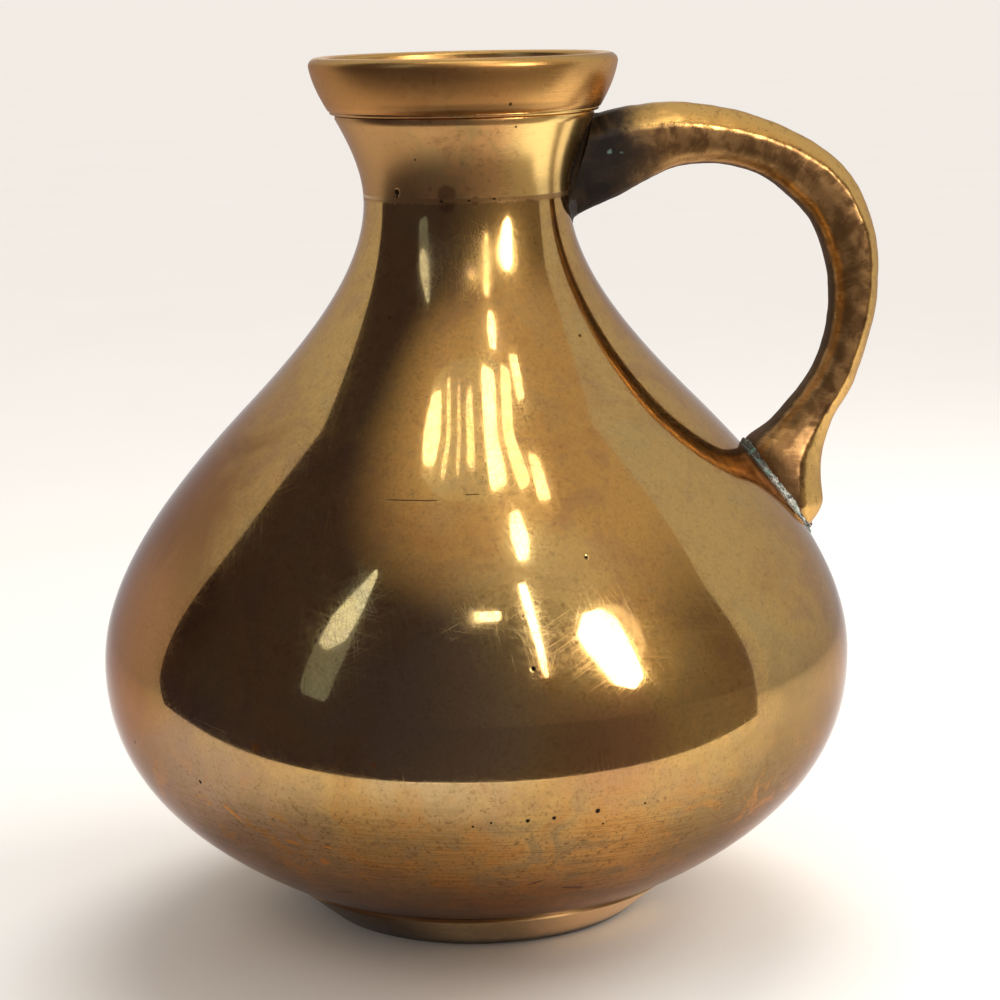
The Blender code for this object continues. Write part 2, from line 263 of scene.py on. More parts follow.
# Round marks on the outside, as angle, height and radius: drips over the neck's seam, pits, spots, scuffs
DRIPS = ((-108.5, 0.1452, 0.0022), (-108.5, 0.1432, 0.0019), (-93.0, 0.1440, 0.0010))
CASTING_PITS = (
    (-99.1, 0.0367, 0.0003),
    (-96.5, 0.0374, 0.0003),
    (-91.3, 0.0375, 0.0005),
    (-87.5, 0.0377, 0.0005),
    (-81.1, 0.0383, 0.0006),
    (-80.0, 0.0354, 0.0003),
    (-73.8, 0.0386, 0.0003),
    (-160.8, 0.0433, 0.0005),
    (-143.0, 0.0403, 0.0005),
)
NECK_PITS = ((-138.2, 0.1456, 0.0008), (-123.5, 0.1519, 0.0003), (-75.1, 0.1578, 0.0003))
COPPER_SPOTS = ((-130.6, 0.0497, 0.0013), (-124.0, 0.0266, 0.0012), (-112.5, 0.0487, 0.0006))
GREEN_SPOTS = ((-13.0, 0.1500, 0.0012), (-17.0, 0.1486, 0.0007))
SCUFFS = ((-99.5, 0.0738, 0.0034), (-101.5, 0.0720, 0.0026))

# Long marks on the outside: angle and height at both ends, half width
SCRATCHES = (
    (-116.2, 0.0926, -103.8, 0.0926, 0.00012),
    (-99.9, 0.0935, -96.4, 0.0935, 0.00012),
    (-90.6, 0.0217, -87.3, 0.0228, 0.00030),
    (-83.9, 0.0201, -78.7, 0.0191, 0.00050),
    (-128.0, 0.0172, -123.0, 0.0180, 0.00030),
)
GOUGES = (
    (-139.5, 0.0368, -136.5, 0.0334, 0.00080),
    (-129.5, 0.0310, -127.0, 0.0304, 0.00060),
    (-123.0, 0.0308, -121.0, 0.0305, 0.00040),
)

# Broad tarnish and painted reflection on the outside: angle, height, radius, colour, strength
# Many tones stand in for the mirrored floor and room; the two pale ones in front paint haze round lights
TARNISH_AND_PAINTED_REFLECTION = (
    (-172, 0.078, 0.046, (0.24, 0.102, 0.037), 0.85),
    (-168, 0.044, 0.034, (0.34, 0.155, 0.050), 0.85),
    (-142, 0.030, 0.030, (0.41, 0.275, 0.185), 0.85),
    (-118, 0.019, 0.024, (0.42, 0.250, 0.135), 0.75),
    (-105, 0.028, 0.018, (0.46, 0.245, 0.080), 0.65),
    (-78, 0.024, 0.022, (0.68, 0.330, 0.092), 0.75),
    (-55, 0.030, 0.022, (0.30, 0.198, 0.085), 0.70),
    (-88, 0.017, 0.016, (0.46, 0.200, 0.075), 0.60),
    (-40, 0.038, 0.030, (0.26, 0.176, 0.076), 0.80),
    (-8, 0.050, 0.028, (0.42, 0.310, 0.200), 0.90),
    # Painted haze round the mirrored sign and lamp: this line and the next
    (-103, 0.058, 0.024, (0.56, 0.410, 0.225), 0.80),
    (-88, 0.076, 0.018, (0.62, 0.470, 0.205), 0.70),
    (-80, 0.050, 0.014, (0.46, 0.235, 0.115), 0.70),
    (-163, 0.067, 0.018, (0.46, 0.225, 0.090), 0.80),
    (60, 0.060, 0.045, (0.40, 0.210, 0.085), 0.60),
    (120, 0.045, 0.040, (0.36, 0.220, 0.120), 0.60),
)


class Link:
    """An output socket of a node tree. Sums written with it add Math nodes."""

    def __init__(self, tree, socket=None):
        self.tree = tree
        self.socket = socket

    def node(self, kind, inputs=None, output=0, **settings):
        """A new node: its settings first, then its inputs by name or number. Gives one of its outputs."""
        made = self.tree.nodes.new(kind)
        for name, value in settings.items():
            setattr(made, name, value)
        for key, value in (inputs or {}).items():
            feed(made.inputs[key], value)
        return Link(self.tree, made.outputs[output])

    def math(self, operation, *values):
        return self.node("ShaderNodeMath", dict(enumerate(values)), operation=operation)

    def __add__(self, other):
        return self.math("ADD", self, other)

    def __sub__(self, other):
        return self.math("SUBTRACT", self, other)

    def __rsub__(self, other):
        return self.math("SUBTRACT", other, self)

    def __mul__(self, other):
        return self.math("MULTIPLY", self, other)

    def __truediv__(self, other):
        return self.math("DIVIDE", self, other)

    def __rtruediv__(self, other):
        return self.math("DIVIDE", other, self)

    def __abs__(self):
        return self.math("ABSOLUTE", self)

    __radd__ = __add__
    __rmul__ = __mul__


def feed(socket, value):
    """Joins a link to a socket, or puts a value on it. Colours are given without their alpha."""
    if isinstance(value, Link):
        value.tree.links.new(value.socket, socket)
    else:
        socket.default_value = (*value, 1.0) if socket.type == "RGBA" else value


def cubic(stations, height):
    """Radius at a height on the cubic through stations of (height, radius, slope)."""
    spans = list(zip(stations, stations[1:]))
    low, high = next((span for span in spans if height <= span[1][0]), spans[-1])
    rise = high[0] - low[0]
    t = (height - low[0]) / rise
    bend = low[2] * t * (1 - t) ** 2 - high[2] * t * t * (1 - t)
    return low[1] + (high[1] - low[1]) * t * t * (3 - 2 * t) + rise * bend


def outside(height):
    """Outer radius from the foot's crease to the groove."""
    return cubic(OUTSIDE, height)


def slope_at(height):
    """Slope of the outside: change of radius with height."""
    return (outside(height + SLOPE_STEP) - outside(height - SLOPE_STEP)) / (2 * SLOPE_STEP)


def inside(height):
    """Inner radius, one wall in from the outside, measured square to it."""
    return outside(height) - WALL * math.hypot(1, slope_at(height))


def collar(height):
    """Outer radius from the collar's lower edge to the lip's edge."""
    return cubic(COLLAR, height)


def skin(height):
    """Outer radius of the whole jug."""
    return collar(height) if height > COLLAR_BASE_HEIGHT else outside(height)


def standoff(place):
    """How far a point is outside the jug, measured level."""
    return math.hypot(place.x, place.y) - skin(place.z)


def on_skin(place, lift=0.0):
    """The point moved level on to the jug's outside."""
    return Vector((place.x, place.y, 0)).normalized() * (skin(place.z) + lift) + Vector((0, 0, place.z))


def spread(low, high, count):
    """Evenly spaced values from low to high."""
    return [low + (high - low) * i / (count - 1) for i in range(count)]


def smooth_step(value, low, high):
    """0 below low, 1 above high, and smooth between."""
    t = min(max((value - low) / (high - low), 0.0), 1.0)
    return t * t * (3 - 2 * t)


def bend_through(start, corner, end, t):
    """Point on the round bend from start to end that leaves and arrives towards a corner."""
    return start * (1 - t) ** 2 + corner * (2 * t * (1 - t)) + end * t * t


def walk(radius_at, start, end):
    """Points (radius, height) of a wall from one height to another, closely spaced."""
    count = max(3, int(abs(end - start) / CURVE_STEP) + 1)
    return [(radius_at(height), height) for height in spread(start, end, count)]


def rounded(points, cut, steps=4, longest=0.45):
    """A closed profile with its sharp corners rounded off, over at most a share of the side next to each."""
    result = []
    places = [Vector(point) for point in points]
    for i, corner in enumerate(places):
        before = places[i - 1] - corner
        after = places[(i + 1) % len(places)] - corner
        if math.pi - before.angle(after) < SMOOTH_ANGLE / 2:
            result.append(tuple(corner))
            continue
        start = corner + before * min(cut / before.length, longest)
        end = corner + after * min(cut / after.length, longest)
        result += [tuple(bend_through(start, corner, end, t)) for t in spread(0.0, 1.0, steps)]
    return result


def new_tree(name, inputs):
    """An empty Geometry Nodes tree with named inputs, and a link for each of them."""
    tree = bpy.data.node_groups.new(name, "GeometryNodeTree")
    for label, kind in inputs.items():
        tree.interface.new_socket(label, in_out="INPUT", socket_type="NodeSocket" + kind)
    tree.interface.new_socket("Piece", in_out="OUTPUT", socket_type="NodeSocketGeometry")
    start = tree.nodes.new("NodeGroupInput")
    return tree, [Link(tree, start.outputs[label]) for label in inputs]


def end_tree(piece, finish):
    """Ends a tree: real geometry with its finish on it."""
    piece = piece.node("GeometryNodeRealizeInstances", {"Geometry": piece})
    piece = piece.node("GeometryNodeSetMaterial", {"Geometry": piece, "Material": finish})
    end = piece.tree.nodes.new("NodeGroupOutput")
    feed(end.inputs[0], piece)


def grow(name, mesh, tree, values):
    """The plain mesh that a tree makes from a starting mesh and its inputs' values."""
    starter = bpy.data.objects.new(name + "_start", mesh)
    bpy.context.scene.collection.objects.link(starter)
    modifier = starter.modifiers.new("grow", "NODES")
    modifier.node_group = tree
    for item in tree.interface.items_tree:
        if item.in_out == "INPUT" and item.name in values:
            modifier[item.identifier] = values[item.name]
    evaluated = starter.evaluated_get(bpy.context.evaluated_depsgraph_get())
    grown = bpy.data.meshes.new_from_object(evaluated)
    bpy.data.objects.remove(starter)
    grown.name = name
    return grown


def add_piece(name, mesh, node):
    """A finished piece that rides on the jug, stands for a CAD node and takes its finish from a slot."""
    shape = bmesh.new()
    shape.from_mesh(mesh)
    bmesh.ops.remove_doubles(shape, verts=shape.verts, dist=WELD)
    bmesh.ops.recalc_face_normals(shape, faces=shape.faces)
    shape.to_mesh(mesh)
    shape.free()
    mesh.shade_smooth()
    mesh.set_sharp_from_angle(angle=SMOOTH_ANGLE)
    piece = bpy.data.objects.new(name, mesh)
    bpy.context.scene.collection.objects.link(piece)
    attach(piece, "root")
    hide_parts(node)


def make_turning_tree():
    """Tree that turns a profile of radius, distance along it and height round the axis, and dents it.

    The surface keeps its flat coordinates, round the axis and along the profile, as the attribute sheet.
    """
    inputs = {
        "Profile": "Geometry",
        "Steps": "Int",
        "Dent Depth": "Float",
        "Dent Size": "Float",
        "Finish": "Material",
    }
    tree, (profile, steps, depth, size, finish) = new_tree("turned_piece", inputs)
    points = profile.node("GeometryNodeAttributeDomainSize", {"Geometry": profile})
    columns = steps + 1
    grid = profile.node("GeometryNodeMeshGrid", {"Vertices X": points, "Vertices Y": columns})
    index = profile.node("GeometryNodeInputIndex")
    row = index.math("FLOOR", index / columns)
    angle = (index - row * columns) / steps * math.tau
    place = profile.node("GeometryNodeInputPosition")
    sampled = profile.node(
        "GeometryNodeSampleIndex",
        {"Geometry": profile, "Value": place, "Index": row},
        data_type="FLOAT_VECTOR",
    )
    radius, along, height = (part_of(sampled, axis) for axis in range(3))
    sheet = sampled.node("ShaderNodeCombineXYZ", {0: angle * SHEET_RADIUS, 1: along})
    sheet = sheet.node("GeometryNodeFieldOnDomain", {0: sheet}, data_type="FLOAT_VECTOR", domain="POINT")
    grid = grid.node(
        "GeometryNodeStoreNamedAttribute",
        {"Geometry": grid, "Name": "sheet", "Value": sheet},
        data_type="FLOAT_VECTOR",
        domain="CORNER",
    )

    def at(distance):
        across = distance * angle.math("COSINE", angle)
        deep = distance * angle.math("SINE", angle)
        return distance.node("ShaderNodeCombineXYZ", {0: across, 1: deep, 2: height})

    dents = mottle(at(radius), size, 1.0)
    turned = grid.node("GeometryNodeSetPosition", {"Geometry": grid, "Position": at(radius - dents * depth)})
    end_tree(turned, finish)
    return tree


def turn(name, profile, tree, finish, dent_depth=DENT_DEPTH):
    """A turned piece from its closed profile, or from one that starts and ends on the axis."""
    points = list(profile)
    if points[0][0] > 0:
        points.append(points[0])
    lengths = accumulate(map(math.dist, points, points[1:]), initial=0.0)
    places = [(radius, along, height) for (radius, height), along in zip(points, lengths)]
    mesh = bpy.data.meshes.new(name + "_profile")
    mesh.from_pydata(places, [], [])
    values = {"Steps": TURN_STEPS, "Dent Depth": dent_depth, "Dent Size": DENT_SIZE, "Finish": finish}
    add_piece(name + "_cast", grow(name, mesh, tree, values), name)


def lip_profile():
    """Rounded lip from the mouth's inner edge over the crown to the outer edge."""
    rise = LIP_TOP_HEIGHT - LIP_EDGE_HEIGHT
    reach = LIP_EDGE_RADIUS - LIP_CROWN_RADIUS
    inner = LIP_CROWN_RADIUS - LIP_MOUTH_RADIUS
    points = []
    for angle in spread(-math.pi / 2, math.pi / 2, LIP_STEPS):
        width = reach if angle > 0 else inner
        drop = rise if angle > 0 else rise / 2
        points.append((
            LIP_CROWN_RADIUS + width * math.sin(angle),
            LIP_TOP_HEIGHT - drop * (1 - math.cos(angle)),
        ))
    return points


def make_neck(tree, finish):
    """Flared neck: lip, collar, ridge, groove, flare and inner wall."""
    foot = NECK_SEAM_HEIGHT + NECK_SEAM_WIDTH / 2
    ridge = [
        (COLLAR_BASE_RADIUS - 4 * HAIR, COLLAR_BASE_HEIGHT - HAIR),
        (RIDGE_RADIUS, COLLAR_BASE_HEIGHT - 2 * HAIR),
        (RIDGE_RADIUS - HAIR, RIDGE_FOOT_HEIGHT),
        (GROOVE_FLOOR_RADIUS, RIDGE_FOOT_HEIGHT - 2 * HAIR),
        (GROOVE_FLOOR_RADIUS, GROOVE_HEIGHT + 4 * HAIR),
    ]
    profile = lip_profile()
    profile += walk(collar, LIP_EDGE_HEIGHT, COLLAR_BASE_HEIGHT)[1:]
    profile += rounded(ridge, 2 * HAIR)
    profile += walk(outside, GROOVE_HEIGHT, foot)
    profile += walk(inside, foot, GROOVE_HEIGHT)
    profile += [(LIP_MOUTH_RADIUS - 5 * HAIR, LIP_EDGE_HEIGHT - 10 * HAIR)]
    turn("neck_collar", profile, tree, finish)


def make_body(tree, finish):
    """Shoulder casting between the two seams."""
    top = NECK_SEAM_HEIGHT - NECK_SEAM_WIDTH / 2
    foot = BELLY_SEAM_HEIGHT + BELLY_SEAM_WIDTH / 2
    profile = walk(outside, top, foot) + walk(inside, foot, top)
    turn("upper_body", profile, tree, finish)


def make_bowl(tree, finish):
    """Bowl casting from the belly seam to the flat flange over the foot."""
    top = BELLY_SEAM_HEIGHT - BELLY_SEAM_WIDTH / 2
    floor = FOOT_HEIGHT + WALL
    profile = walk(outside, top, FOOT_HEIGHT)
    profile += [(BOWL_HOLE_RADIUS, FOOT_HEIGHT), (BOWL_HOLE_RADIUS, floor)]
    profile += walk(inside, floor, top)
    turn("lower_bowl", profile, tree, finish)


def foot_taper(height):
    """Outer radius of the foot ring."""
    return FOOT_FLOOR_RADIUS + (FOOT_TOP_RADIUS - FOOT_FLOOR_RADIUS) * height / FOOT_HEIGHT


def make_foot(tree, finish):
    """Foot ring with softened edges, and the base disc with its turning rings."""
    shoulder = FOOT_HEIGHT - FOOT_SOLDER_HEIGHT
    ring = [
        (foot_taper(FOOT_HEIGHT) - FOOT_SOLDER_WIDTH, FOOT_HEIGHT),
        (foot_taper(shoulder), shoulder),
        (foot_taper(0), 0),
        (DISC_RADIUS, 0),
        (DISC_RADIUS, DISC_THICKNESS),
        (DISC_RADIUS - DISC_LEDGE, DISC_THICKNESS),
        (DISC_RADIUS - DISC_LEDGE, FOOT_HEIGHT),
    ]
    turn("foot_ring", rounded(ring, FOOT_ROUNDING), tree, finish)
    disc = [
        (0, DISC_THICKNESS),
        (DISC_RADIUS, DISC_THICKNESS),
        (DISC_RADIUS, DISC_CHAMFER),
        (DISC_RADIUS - DISC_CHAMFER, 0),
    ]
    pitch = (DISC_RADIUS - DISC_CHAMFER) / (LATHE_RINGS + 1)
    for i in range(LATHE_RINGS, 0, -1):
        disc += [
            (pitch * i + pitch / 8, 0),
            (pitch * i, LATHE_RING_DEPTH),
            (pitch * i - pitch / 8, 0),
        ]
    disc += [(0, 0)]
    turn("base_disc", disc, tree, finish, 0.0)


def make_seam(name, height, width, tree, finish):
    """Ring of braze in a level seam."""
    low, high = height - width / 2, height + width / 2
    back = outside(height) - WALL / 2
    profile = [(back, high), (outside(high), high), (outside(low), low), (back, low)]
    turn(name, profile, tree, finish)


def make_foot_solder(tree, finish):
    """Solder in the crease over the foot, and in the groove round the base disc."""
    low = FOOT_HEIGHT - FOOT_SOLDER_HEIGHT
    crease = [
        (foot_taper(FOOT_HEIGHT) - FOOT_SOLDER_WIDTH, FOOT_HEIGHT),
        (foot_taper(FOOT_HEIGHT) - 4 * HAIR, FOOT_HEIGHT),
        (foot_taper(low) - 3 * HAIR, FOOT_HEIGHT - FOOT_SOLDER_HEIGHT / 2),
        (foot_taper(low), low),
    ]
    turn("foot_solder", crease, tree, finish)
    groove = [
        (DISC_RADIUS, DISC_CHAMFER / 2),
        (DISC_RADIUS, HAIR),
        (DISC_RADIUS - DISC_CHAMFER / 2, HAIR),
    ]
    turn("base_solder", groove, tree, finish, 0.0)


def smooth_between(values, t):
    """Value at t on the smooth curve through a run of evenly spaced values."""
    last = len(values) - 2
    i = min(int(t), last)
    t -= i
    before, start, end, after = (values[min(max(i + k, 0), last + 1)] for k in (-1, 0, 1, 2))
    slope_in, slope_out = (end - before) / 2, (after - start) / 2
    bend = slope_in * (t * (1 - t) ** 2) - slope_out * (t * t * (1 - t))
    return start + (end - start) * (t * t * (3 - 2 * t)) + bend


Spot = namedtuple("Spot", "place rubbed depth")


def cut_corners(points, rounds, share=0.25):
    """A closed outline made round: again and again, a share of each side is cut off at its corners."""
    for _ in range(rounds):
        pairs = zip(points, points[1:] + points[:1])
        points = [a.lerp(b, t) for a, b in pairs for t in (share, 1 - share)]
    return points


def section(outer, inner, width, crown):
    """Spots round the handle at one station: a bar with soft corners, a crowned face and a crisp arris."""
    across = (outer - inner).normalized()
    half = width / 2
    thick = (outer - inner).length
    arris = thick - crown
    right = [
        (half * INNER_SHARE, 0.0),
        (half * SIDE_SHARE, INNER_CHAMFER),
        (half * FLANK_SHARE, arris / 2),
        (half, arris - ARRIS),
        (half * ARRIS_SHARE, arris),
    ]
    right += [(half * share, thick - crown * share ** 2) for share in CROWN_SHARES]
    points = [Vector(point) for point in right]
    points += [Vector((-side, height)) for side, height in reversed(right)]
    spots_round = []
    for point in cut_corners(points, SECTION_ROUNDS):
        flat = inner + across * point.y
        rubbed = (point.y - arris) / crown
        spots_round.append(Spot(Vector((flat.x, point.x, flat.y)), rubbed, point.y / thick))
    return spots_round


def middle_of(ring):
    return sum((spot.place for spot in ring), Vector()) / len(ring)


def handle_rings():
    """Rings of spots along the handle, closed at the lower end by a rounded tip."""
    outers, inners, widths, crowns = zip(*HANDLE)
    lines = [[Vector(place) for place in outers], [Vector(place) for place in inners], widths, crowns]
    last = len(HANDLE) - 1
    rings = []
    for t in spread(0.0, last, HANDLE_STEPS * last + 1):
        rings.append(section(*(smooth_between(line, t) for line in lines)))
    end = rings[-1]
    middle = middle_of(end)
    onward = (middle - middle_of(rings[-4])).normalized()
    for angle in spread(0.0, math.pi / 2, TIP_STEPS)[1:]:
        push = onward * (TIP_REACH * math.sin(angle))
        shrink = max(math.cos(angle), TIP_END_SHARE)
        rings.append([spot._replace(place=middle + (spot.place - middle) * shrink + push) for spot in end])
    return rings


def lumpy(place, normal):
    """A point moved a little along its normal by the unevenness of the casting."""
    shift = sum(depth * noise.noise(place / size) for size, depth in LUMPS)
    return place + normal * shift


def sunk(place):
    """A point that lies inside the jug, brought out to just under its skin."""
    return place if standoff(place) > -HANDLE_SINK else on_skin(place, -HANDLE_SINK)


def make_handle(rings, finish):
    """Cast handle through its rings. Its points keep how rubbed, how deep and how far along they are."""
    shape = bmesh.new()
    rubbed, depth, along = (shape.verts.layers.float.new(name) for name in ("rubbed", "depth", "along"))
    rows = []
    for i, ring in enumerate(rings):
        row = []
        for spot in ring:
            vert = shape.verts.new(spot.place)
            vert[rubbed] = spot.rubbed
            vert[depth] = spot.depth
            vert[along] = i / (len(rings) - 1)
            row.append(vert)
        rows.append(row)
    count = len(rows[0])
    for row, following in zip(rows, rows[1:]):
        for i in range(count):
            k = (i + 1) % count
            shape.faces.new((row[i], row[k], following[k], following[i]))
    shape.faces.new(rows[0])
    shape.faces.new(rows[-1])
    bmesh.ops.recalc_face_normals(shape, faces=shape.faces)
    shape.normal_update()
    for vert in shape.verts:
        vert.co = sunk(lumpy(vert.co, vert.normal))
    mesh = bpy.data.meshes.new("handle")
    shape.to_mesh(mesh)
    shape.free()
    mesh.materials.append(finish)
    add_piece("handle_cast", mesh, "handle")


def joint_line(rings):
    """Closed line where the handle enters the jug, with the way back along the handle from each point.

    The rings run from the free part of the handle to the buried part.
    """
    line = []
    for i in range(len(rings[0])):
        places = [ring[i].place for ring in rings]
        for free, buried in zip(places, places[1:]):
            high, low = standoff(free), standoff(buried)
            if low < 0 <= high:
                line.append((free.lerp(buried, high / (high - low)), (free - buried).normalized()))
                break
    return line


def fillet_mesh(name, line, solder):
    """Hollow-faced fillet in the corner between handle and jug, closed at its back under their skins."""
    centre = sum((joint for joint, _ in line), Vector()) / len(line)
    places = []
    for joint, back in line:
        level = Vector((joint.x, joint.y, 0)).normalized()
        normal = (level - Vector((0, 0, slope_at(joint.z)))).normalized()
        away = joint - centre
        away = (away - normal * away.dot(normal)).normalized()
        top = joint + back * solder.climb
        foot = on_skin(joint + away * solder.spread)
        places += [bend_through(top, joint, foot, t) for t in spread(0.0, 1.0, FILLET_STEPS)]
        places.append(joint - normal * HANDLE_SINK)
    width = len(places) // len(line)
    faces = []
    for i in range(len(line)):
        k = (i + 1) % len(line)
        for a in range(width):
            b = (a + 1) % width
            faces.append((i * width + a, i * width + b, k * width + b, k * width + a))
    mesh = bpy.data.meshes.new(name + "_fillet")
    mesh.from_pydata(places, [], faces)
    return mesh


def make_crust_tree():
    """Tree that roughens a fillet of solder and scatters grains of crust on it."""
    inputs = {
        "Fillet": "Geometry",
        "Crust Depth": "Float",
        "Grain Radius": "Float",
        "Grain Density": "Float",
        "Seed": "Int",
        "Finish": "Material",
    }
    tree, (fillet, crust, grain, density, seed, finish) = new_tree("solder_crust", inputs)
    fine = fillet.node("GeometryNodeSubdivideMesh", {"Mesh": fillet, "Level": 2})
    lumps = mottle(fillet.node("GeometryNodeInputPosition"), LUMP_SIZE, 4.0, 0.7)
    lift = {0: fillet.node("GeometryNodeInputNormal"), "Scale": (lumps - 0.5) * crust}
    push = fillet.node("ShaderNodeVectorMath", lift, operation="SCALE")
    fine = fillet.node("GeometryNodeSetPosition", {"Geometry": fine, "Offset": push})
    places = {"Mesh": fine, "Density": density, "Seed": seed}
    points = fillet.node("GeometryNodeDistributePointsOnFaces", places)
    grains = fillet.node("GeometryNodeMeshIcoSphere", {"Radius": grain, "Subdivisions": 1})
    size = fillet.node("FunctionNodeRandomValue", {2: 0.4, 3: 1.4, "Seed": seed}, 1)
    scattered = {"Points": points, "Instance": grains, "Scale": size}
    grains = fillet.node("GeometryNodeInstanceOnPoints", scattered)
    whole = fillet.node("GeometryNodeJoinGeometry", {0: grains})
    feed(whole.socket.node.inputs[0], fine)
    end_tree(whole, finish)
    return tree


def make_solder(node, rings, solder, tree, finish):
    """Old solder round one end of the handle."""
    values = {
        "Crust Depth": solder.crust,
        "Grain Radius": solder.grain,
        "Grain Density": solder.density,
        "Seed": GRAIN_SEED,
        "Finish": finish,
    }
    mesh = fillet_mesh(node, joint_line(rings), solder)
    add_piece(node + "_fillet", grow(node, mesh, tree, values), node)


def new_material(name):
    """A material with its shader, and a link to its object coordinates."""
    material = bpy.data.materials.new(name)
    material.use_nodes = True
    tree = material.node_tree
    place = Link(tree).node("ShaderNodeTexCoord", output=3)
    return material, tree.nodes["Principled BSDF"], place


def fit(shader, **inputs):
    """Puts values and links on a shader's sockets, named with underscores for spaces."""
    for label, value in inputs.items():
        feed(shader.inputs[label.replace("_", " ")], value)


def metal(shader, base, rough, relief, depth, **others):
    """Makes a shader metal of a colour and roughness, with a relief in it."""
    bump = relief.node("ShaderNodeBump", {"Height": relief, "Distance": depth})
    fit(shader, **{"Base_Color": base, "Metallic": 1.0, "Roughness": rough, "Normal": bump, **others})


def mix(first, second, share):
    """A colour between two colours."""
    return share.node("ShaderNodeMix", {0: share, 6: first, 7: second}, 2, data_type="RGBA")


def layered(base, *coats):
    """A colour with other colours laid over it in turn. Each coat is a colour and its share."""
    for tint, share in coats:
        base = mix(base, tint, share)
    return base


def ramp(value, low, high):
    """A smooth step from 0 at low to 1 at high."""
    steps = {0: value, 1: low, 2: high}
    return value.node("ShaderNodeMapRange", steps, interpolation_type="SMOOTHSTEP")


def band(value, start, full, fade, end):
    """Rises from 0 at start to 1 at full, and falls from fade to 0 at end."""
    return ramp(value, start, full) * (1 - ramp(value, fade, end))


def mottle(place, size, detail=2.0, roughness=0.5, distortion=0.0, dimensions="3D"):
    """Cloudy variation with patches of about a given size."""
    inputs = {
        "Vector": place,
        "Scale": 1 / size,
        "Detail": detail,
        "Roughness": roughness,
        "Distortion": distortion,
    }
    return place.node("ShaderNodeTexNoise", inputs, noise_dimensions=dimensions)


def part_of(vector, axis):
    """One coordinate of a vector: 0, 1 or 2."""
    return vector.node("ShaderNodeSeparateXYZ", {0: vector}, axis)


def attribute(place, name, output):
    """A value kept on the mesh: output 0 for a colour, 1 for a vector, 2 for a number."""
    return place.node("ShaderNodeAttribute", output=output, attribute_name=name)


def larger(*values):
    """The largest of some values."""
    return reduce(lambda first, second: first.math("MAXIMUM", first, second), values)


def streaks(sheet, angle, length, width, level):
    """Straight hairlines that lie one way over a surface, where a stretched noise passes a level."""
    turned = sheet.node(
        "ShaderNodeMapping",
        {"Vector": sheet, "Rotation": (0, 0, math.radians(angle)), "Scale": (length, width, 1)},
        vector_type="TEXTURE",
    )
    return ramp(mottle(turned, 1.0, 1.0, dimensions="2D"), level, level + 0.06)


def hairlines(sheet, ways, length, width, level):
    """Hairlines in several directions, in degrees."""
    lines = [streaks(sheet, ways[0], length, width, level)]
    for i, angle in enumerate(ways[1:]):
        lines.append(streaks(sheet, angle, length * (0.7 + 0.2 * i), width, level))
    return larger(*lines)


def pits(place, size, share):
    """Small round pits, with only a share of the cells holding one."""
    cells = place.node("ShaderNodeTexVoronoi", {"Vector": place, "Scale": 1 / size})
    chance = Link(cells.tree, cells.socket.node.outputs["Color"])
    chance = chance.node("ShaderNodeSeparateColor", {0: chance})
    return (1 - ramp(cells, 0.04, 0.10)) * ramp(chance, 1 - share, 1 - share + 0.02)


def distance(place, centre):
    return place.node("ShaderNodeVectorMath", {0: place, 1: centre}, 1, operation="DISTANCE")


def away_from(place, angle, height):
    """Distance from a place on the outside: angle round the axis in degrees, height in metres."""
    turn_to = math.radians(angle)
    reach = skin(height)
    return distance(place, (reach * math.cos(turn_to), reach * math.sin(turn_to), height))


def spots(place, marks):
    """Round marks at stated places on the outside: angle, height and radius."""
    rounds = [(away_from(place, angle, height), radius) for angle, height, radius in marks]
    return larger(*(1 - ramp(away, radius * 0.6, radius) for away, radius in rounds))


def strokes(sheet, height, marks):
    """Thin marks from one stated place on the outside to another: angle and height twice, and half width."""
    angle = part_of(sheet, 0) / SHEET_RADIUS
    lines = []
    for angle_0, height_0, angle_1, height_1, width in marks:
        start, end = math.radians(angle_0 % 360), math.radians(angle_1 % 360)
        fade = (end - start) / 5
        level = height_0 + (angle - start) * ((height_1 - height_0) / (end - start))
        stroke = 1 - ramp(abs(height - level), width * 0.4, width)
        lines.append(stroke * band(angle, start, start + fade, end - fade, end))
    return larger(*lines)


def tarnish_and_painted_reflection(place, edge):
    """Coats of colour for the tarnish and painted reflection. A cloudy value breaks up their edges."""
    coats = []
    for angle, height, radius, tint, strength in TARNISH_AND_PAINTED_REFLECTION:
        away = away_from(place, angle, height) + (edge - 0.5) * (radius * 1.2)
        coats.append((tint, (1 - ramp(away, radius * 0.3, radius * 1.1)) * strength))
    return coats


